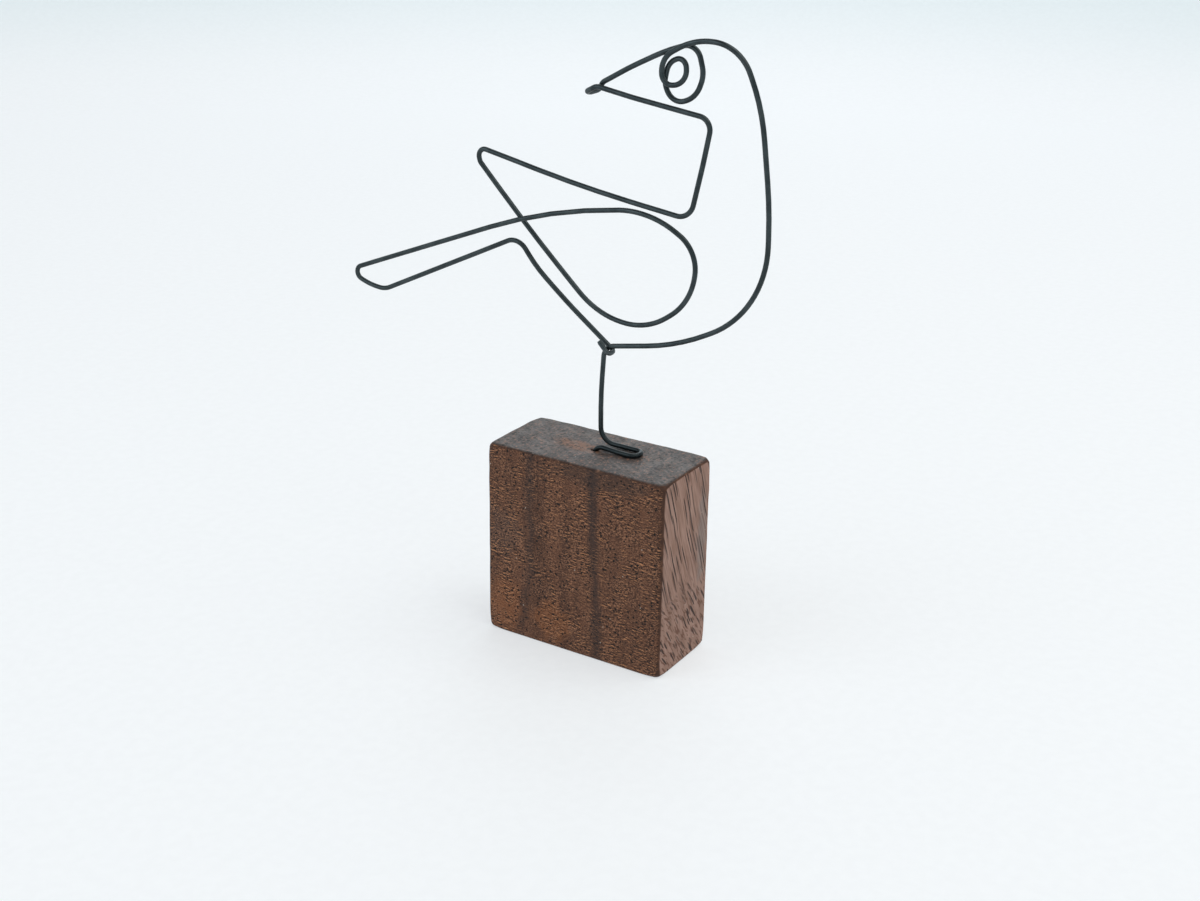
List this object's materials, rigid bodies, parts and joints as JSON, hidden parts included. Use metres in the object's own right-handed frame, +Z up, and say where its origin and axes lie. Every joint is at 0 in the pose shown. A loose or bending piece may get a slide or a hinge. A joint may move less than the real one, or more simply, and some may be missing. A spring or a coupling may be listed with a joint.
{
  "type": "wire bird sculpture",
  "caption": "Bird in profile bent from continuous black steel wire, with a coiled eye, a wing loop and a long tail, its leg hooked and set into a small walnut block.",
  "frame": {"origin": "middle of the block's underside", "axes": "+Z up, +X towards the bird's breast, -Y out of the block's front face, with the bird's plane upright and parallel to that face"},
  "size_m": [0.0989, 0.019, 0.1252],
  "materials": {
    "walnut": "oiled, open grain",
    "black_steel": "black annealed, satin"
  },
  "bodies": {
    "root": {"walnut_block": "walnut", "wire_bird": "black_steel"}
  },
  "joints": []
}
